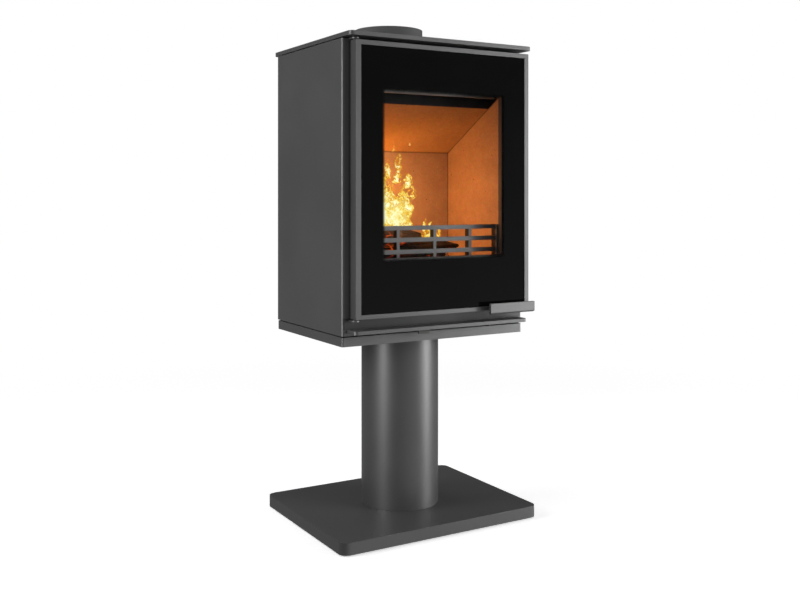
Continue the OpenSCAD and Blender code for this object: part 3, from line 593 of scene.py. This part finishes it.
def ash_bed(name, low, high, depth):
    """A bed of ash and coals over the grate, higher under the logs and closed below."""
    bm = bmesh.new()
    tops, feet = [], []
    for i in range(ASH_LINES + 1):
        row, foot = [], []
        for j in range(ASH_COLUMNS + 1):
            u, v = j / ASH_COLUMNS, i / ASH_LINES
            x = low[0] + u * (high[0] - low[0])
            y = low[1] + v * (high[1] - low[1])
            edge = min(1.0, 9 * min(u, 1 - u)) * min(1.0, 9 * min(v, 1 - v))
            lump = noise.fractal(Vector((x * 26, y * 26, 3.0)), 1.0, 2.0, 5)
            heap = 0.55 + 0.45 * math.cos(math.pi * (u - 0.35))
            rise = 0.001 + depth * edge * max(0.1, heap + 0.45 * lump)
            row.append(bm.verts.new((x, y, low[2] + rise)))
            foot.append(bm.verts.new((x, y, low[2])))
        tops.append(row)
        feet.append(foot)
    grid_faces(bm, tops)
    grid_faces(bm, [line[::-1] for line in feet])
    rim_top, rim_foot = rim(tops), rim(feet)
    for j in range(len(rim_top)):
        k = (j + 1) % len(rim_top)
        bm.faces.new((rim_foot[j], rim_foot[k], rim_top[k], rim_top[j]))
    bmesh.ops.recalc_face_normals(bm, faces=bm.faces)
    return new_piece(name, bm, embers_look)


COAL_SPANS = ((0.9, 1.7), (0.7, 1.0), (0.6, 0.9))


def coals(name, places, seed):
    """Broken pieces of charcoal, each a dented lump."""
    rng = random.Random(seed)
    bm = bmesh.new()
    for x, y, z, size in places:
        made = bmesh.ops.create_icosphere(bm, subdivisions=3, radius=1.0)["verts"]
        shape = Matrix.Diagonal([size * rng.uniform(*span) for span in COAL_SPANS])
        turn = Matrix.Rotation(rng.uniform(0, math.tau), 3, "Z")
        turn = turn @ Matrix.Rotation(rng.uniform(-0.5, 0.5), 3, "Y")
        offset = rng.uniform(0, 50)
        for vertex in made:
            dent = 1 + 0.35 * noise.fractal(vertex.co * 1.4 + Vector((offset, 0, 0)), 1.0, 2.0, 4)
            vertex.co = Vector((x, y, z)) + turn @ shape @ (vertex.co * dent)
    return new_piece(name, bm, bark_look)


TONGUE_ROWS = 34
TONGUE_COLUMNS = 16


def tongue(bm, burn, foot, height, width, lean, yaw, seed):
    """One flame: a curved ribbon that sways, narrows to its tip and cools towards its rim."""
    turn = Matrix.Rotation(math.radians(yaw), 3, "Z")
    rows = []
    for i in range(TONGUE_ROWS + 1):
        v = i / TONGUE_ROWS
        wave = noise.noise(Vector((v * 3.2, seed * 7.3, 0.0)))
        ragged = 1 + 0.5 * noise.noise(Vector((v * height * 70, seed, 4)))
        half = width / 2 * 1.2 * (v + 0.12) ** 0.3 * (1 - v) ** 0.6 * ragged
        sway = lean * v ** 1.4 + 0.35 * width * wave * v
        row = []
        for j in range(TONGUE_COLUMNS + 1):
            u = 2 * j / TONGUE_COLUMNS - 1
            hollow = 0.30 * width * (u * u - 0.5) * (1 - 0.6 * v)
            hollow += 0.2 * width * noise.noise(Vector((u, v * 4, seed)))
            vertex = bm.verts.new(Vector(foot) + turn @ Vector((sway + u * half, hollow, v * height)))
            vertex[burn] = (1 - u * u) ** 0.7 * (0.25 + 0.9 * (1 - v) ** 0.8) * min(1.0, 0.35 + 5 * v)
            row.append(vertex)
        rows.append(row)
    grid_faces(bm, rows)


def flames(name, tongues):
    """One piece with all the flames, which casts no shadow and lights nothing itself."""
    bm = bmesh.new()
    burn = bm.verts.layers.float.new("burn")
    for seed, (foot, height, width, lean, yaw) in enumerate(tongues):
        tongue(bm, burn, foot, height, width, lean, yaw, seed + 1)
    piece = new_piece(name, bm, fire("flame"))
    piece.visible_diffuse = False
    piece.visible_shadow = False
    return piece


bark_look = bark("charred_bark")
embers_look = embers("ash_and_coals")


# Each log: its start and its end, with the height above the hearth, then its radius, the angle of its cleft
# side, its seed and the shares over which its ends narrow.
LOGS = {
    "log_front": ((-0.144, -0.082, 0.022), (0.070, -0.070, 0.020), 0.020, 1.3, 3.0, (0.1, 0.1)),
    "log_rear": ((-0.140, -0.024, 0.036), (0.126, -0.040, 0.037), 0.023, 1.9, 11.0, (0.1, 0.22)),
    "log_top": ((-0.142, -0.062, 0.058), (0.030, -0.048, 0.061), 0.019, 2.4, 21.0, (0.1, 0.3)),
}

# Each coal: its place and its size.
COALS = (
    (-0.13, -0.104, 0.560, 0.008),
    (-0.105, -0.108, 0.558, 0.006),
    (-0.060, -0.103, 0.559, 0.007),
    (-0.015, -0.106, 0.557, 0.006),
    (0.030, -0.100, 0.559, 0.008),
    (0.072, -0.095, 0.556, 0.006),
    (0.092, -0.060, 0.556, 0.007),
    (-0.085, -0.036, 0.562, 0.009),
)
COAL_SEED = 5

# Each flame: its foot, its height, its width, how far its tip leans, and its turn about Z in degrees.
TONGUES = (
    ((-0.075, -0.030, 0.620), 0.122, 0.080, 0.006, -14),
    ((-0.045, -0.022, 0.620), 0.108, 0.068, -0.004, -30),
    ((-0.018, -0.030, 0.620), 0.098, 0.060, 0.010, -20),
    ((-0.006, -0.036, 0.620), 0.046, 0.038, 0.004, -34),
    ((-0.108, -0.012, 0.620), 0.150, 0.080, 0.012, 6),
    ((-0.062, 0.004, 0.620), 0.138, 0.078, -0.008, 28),
    ((-0.035, -0.040, 0.620), 0.070, 0.084, 0.004, -40),
    ((-0.004, -0.028, 0.656), 0.058, 0.060, 0.004, -26),
    ((-0.032, -0.026, 0.658), 0.062, 0.050, -0.004, -18),
    ((-0.052, -0.028, 0.664), 0.072, 0.036, 0.002, -34),
    ((0.004, -0.030, 0.706), 0.040, 0.030, -0.004, -26),
    ((-0.026, -0.030, 0.718), 0.036, 0.026, 0.003, -30),
    ((-0.022, -0.030, 0.750), 0.034, 0.028, 0.006, -24),
    ((-0.047, -0.030, 0.728), 0.052, 0.018, -0.002, -34),
    ((-0.080, -0.026, 0.735), 0.046, 0.030, 0.004, -10),
    ((-0.034, -0.030, 0.786), 0.022, 0.010, 0.004, -30),
    ((0.008, -0.030, 0.801), 0.008, 0.008, 0.001, -30),
    ((0.033, -0.045, 0.614), 0.030, 0.013, 0.004, -30),
    ((0.044, -0.045, 0.614), 0.026, 0.010, 0.010, -30),
    ((0.034, -0.066, 0.600), 0.024, 0.052, 0.004, -30),
    ((0.062, -0.060, 0.602), 0.022, 0.012, 0.003, -30),
)
ASH_DEPTH = 0.015
ASH_LIFT = 0.0004


def lay_fire():
    """Logs, coals, ash and flames on the hearth, in the space that the record keeps open for them."""
    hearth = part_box("grate")[1].z
    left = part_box("side_board_left")[1].x
    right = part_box("side_board_right")[0].x
    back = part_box("rear_board")[0].y
    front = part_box("log_retainer")[1].y
    ash_low = (left + 0.004, front + 0.003, hearth + ASH_LIFT)
    ash_high = (right - 0.07, back - 0.012)
    pieces = [ash_bed("ash_bed", ash_low, ash_high, ASH_DEPTH)]
    for name, (start, end, *shape) in LOGS.items():
        start = (start[0], start[1], hearth + start[2])
        end = (end[0], end[1], hearth + end[2])
        pieces.append(split_log(name, start, end, *shape))
    pieces.append(coals("coals", COALS, COAL_SEED))
    pieces.append(flames("flames", TONGUES))
    for piece in pieces:
        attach(piece, "root")


# ---------------------------------------------------------------- studio


FILL_LOW, FILL_HIGH = 0.15, 0.22
GLOSS_LOW, GLOSS_HIGH = 0.36, 0.12
GLOSS_AZIMUTH = 35
GLOSS_AWAY, GLOSS_FACING = 0.68, 1.8
HORIZON = (-0.20, 0.10)
STOVE_MIDDLE = Vector((0, 0, 0.6))


def bearing(azimuth, distance, height):
    """A point round the stove: azimuth 0 is in front of it and 90 on its right."""
    a = math.radians(azimuth)
    return Vector((math.sin(a) * distance, -math.cos(a) * distance, height))


def soft_box(name, azimuth, distance, height, size, power, kind="both"):
    """An area light that faces the stove, in watts, and serves as fill, as a highlight or as both."""
    light = bpy.data.lights.new(name, "AREA")
    light.shape = "RECTANGLE"
    light.size, light.size_y = size
    light.energy = power
    lamp = bpy.data.objects.new(name, light)
    lamp.location = bearing(azimuth, distance, height)
    lamp.visible_diffuse = kind != "highlight"
    lamp.visible_glossy = kind != "fill"
    lamp.rotation_mode = "QUATERNION"
    lamp.rotation_quaternion = (STOVE_MIDDLE - lamp.location).to_track_quat("-Z", "Y")
    bpy.context.scene.collection.objects.link(lamp)
    return lamp


def spare(lamp, node):
    """Keeps a lamp's light off one CAD node."""
    group = bpy.data.collections.new(lamp.name + "_spares")
    group.objects.link(NODES[node])
    lamp.light_linking.receiver_collection = group
    group.collection_objects[0].light_linking.link_state = "EXCLUDE"


def glow(name, place, radius, power, colour):
    """A small lamp of firelight that shows in no reflection."""
    light = bpy.data.lights.new(name, "POINT")
    light.energy = power
    light.color = colour
    light.shadow_soft_size = radius
    lamp = bpy.data.objects.new(name, light)
    lamp.location = place
    lamp.visible_glossy = False
    bpy.context.scene.collection.objects.link(lamp)


def warm_panel(name, place, target, size, power, colour):
    """A disc of firelight that shines one way and shows in no reflection."""
    light = bpy.data.lights.new(name, "AREA")
    light.shape = "DISK"
    light.size = size
    light.energy = power
    light.color = colour
    lamp = bpy.data.objects.new(name, light)
    lamp.location = place
    lamp.rotation_mode = "QUATERNION"
    lamp.rotation_quaternion = (Vector(target) - lamp.location).to_track_quat("-Z", "Y")
    lamp.visible_glossy = False
    bpy.context.scene.collection.objects.link(lamp)


def studio():
    """A pale floor and world, soft boxes on the right, on the left and behind, and firelight."""
    bm = bmesh.new()
    bmesh.ops.create_circle(bm, cap_ends=True, segments=96, radius=40)
    floor = new_piece("studio_floor", bm, floor_finish("studio_floor"), smooth=False)
    floor.visible_glossy = False
    floor.visible_diffuse = False
    light_the_world()
    soft_box("key", 54, 3.2, 0.50, (1.2, 1.75), 68, "highlight")
    spare(soft_box("key_fill", 40, 3.2, 1.3, (1.6, 1.2), 72, "fill"), "lower_baffle")
    spare(soft_box("left_strip", -79, 3.0, 0.75, (0.6, 1.3), 54, "highlight"), "base_plate")
    soft_box("left_fill", -98, 1.7, 1.2, (0.9, 0.9), 18, "fill")
    soft_box("rear", 212, 2.6, 3.4, (1.8, 1.4), 22)
    panel_place, panel_target = (-0.040, -0.085, 0.690), (0.130, 0.066, 0.600)
    warm_panel("fire_light", panel_place, panel_target, 0.07, 0.38, (1.0, 0.48, 0.20))
    glow("flame_light", (-0.060, -0.015, 0.650), 0.030, 0.54, (1.0, 0.38, 0.11))
    glow("tip_light", (-0.085, 0.030, 0.738), 0.030, 0.55, (1.0, 0.41, 0.04))
    glow("ember_light", (0.040, -0.085, 0.575), 0.015, 0.05, (1.0, 0.26, 0.05))


class World:
    """The world's node tree: its lobes are mixed by the kind of ray that meets them."""

    def __init__(self):
        world = bpy.data.worlds.new("studio")
        bpy.context.scene.world = world
        world.use_nodes = True
        self.nodes = world.node_tree.nodes
        self.link = world.node_tree.links.new
        self.rays = self.nodes.new("ShaderNodeLightPath")
        self.upwards, self.sideways = self.directions()

    def directions(self):
        """How far a ray points upwards, and how far it points towards the large light."""
        place = self.nodes.new("ShaderNodeTexCoord")
        axes = self.nodes.new("ShaderNodeSeparateXYZ")
        self.link(place.outputs["Generated"], axes.inputs[0])
        turned = self.nodes.new("ShaderNodeVectorMath")
        turned.operation = "DOT_PRODUCT"
        self.link(place.outputs["Generated"], turned.inputs[0])
        turned.inputs[1].default_value = bearing(GLOSS_AZIMUTH, 1, 0)
        return axes.outputs["Z"], turned.outputs["Value"]

    def change(self, value, start, end, low, high, kind="LINEAR"):
        """The value, mapped from one range to another and held at its ends."""
        shade = self.nodes.new("ShaderNodeMapRange")
        shade.interpolation_type = kind
        self.link(value, shade.inputs["Value"])
        shade.inputs["From Min"].default_value = start
        shade.inputs["From Max"].default_value = end
        shade.inputs["To Min"].default_value = low
        shade.inputs["To Max"].default_value = high
        return shade.outputs[0]

    def level(self, low, high, away=1.0, facing=1.0):
        """White light that changes from below the horizon to above it, and towards the large light."""
        product = self.nodes.new("ShaderNodeMath")
        product.operation = "MULTIPLY"
        self.link(self.change(self.upwards, *HORIZON, low, high), product.inputs[0])
        self.link(self.change(self.sideways, 0.2, 1.0, away, facing, "SMOOTHSTEP"), product.inputs[1])
        background = self.nodes.new("ShaderNodeBackground")
        background.inputs["Color"].default_value = (1, 1, 1, 1)
        self.link(product.outputs[0], background.inputs["Strength"])
        return background

    def for_rays(self, kind, other, shader):
        """One shader for a kind of ray, and another for the rest."""
        mix = self.nodes.new("ShaderNodeMixShader")
        self.link(self.rays.outputs[kind], mix.inputs[0])
        self.link(shader.outputs[0], mix.inputs[1])
        self.link(other.outputs[0], mix.inputs[2])
        return mix


def light_the_world():
    """White to the camera; as fill and in reflections, it changes from its floor level to its sky level.

    In reflections it is also brighter on the side of the large light.
    """
    world = World()
    fill = world.level(FILL_LOW, FILL_HIGH)
    gloss = world.level(GLOSS_LOW, GLOSS_HIGH, GLOSS_AWAY, GLOSS_FACING)
    shader = world.for_rays("Is Glossy Ray", gloss, fill)
    shader = world.for_rays("Is Camera Ray", world.level(1.0, 1.0), shader)
    world.link(shader.outputs[0], world.nodes["World Output"].inputs["Surface"])


CAMERA_PLACE = (-1.088, -1.8546, 0.6962)
CAMERA_TURN = -30.411
CAMERA_LENS = 44.14
CAMERA_SHIFT = -0.1325


def add_camera():
    """The photograph's viewpoint: left of the front, level, at the height of the door's middle."""
    data = bpy.data.cameras.new("camera")
    data.sensor_width = 36
    data.lens = CAMERA_LENS
    data.shift_y = CAMERA_SHIFT
    camera = bpy.data.objects.new("camera", data)
    camera.location = CAMERA_PLACE
    camera.rotation_euler = (math.radians(90), 0, math.radians(CAMERA_TURN))
    bpy.context.scene.collection.objects.link(camera)
    bpy.context.scene.camera = camera


CLEAR_LAYERS = 24

add_camera()
dress_nodes()
lay_fire()
studio()
bpy.context.scene.view_settings.view_transform = "Standard"
bpy.context.scene.cycles.transparent_max_bounces = CLEAR_LAYERS
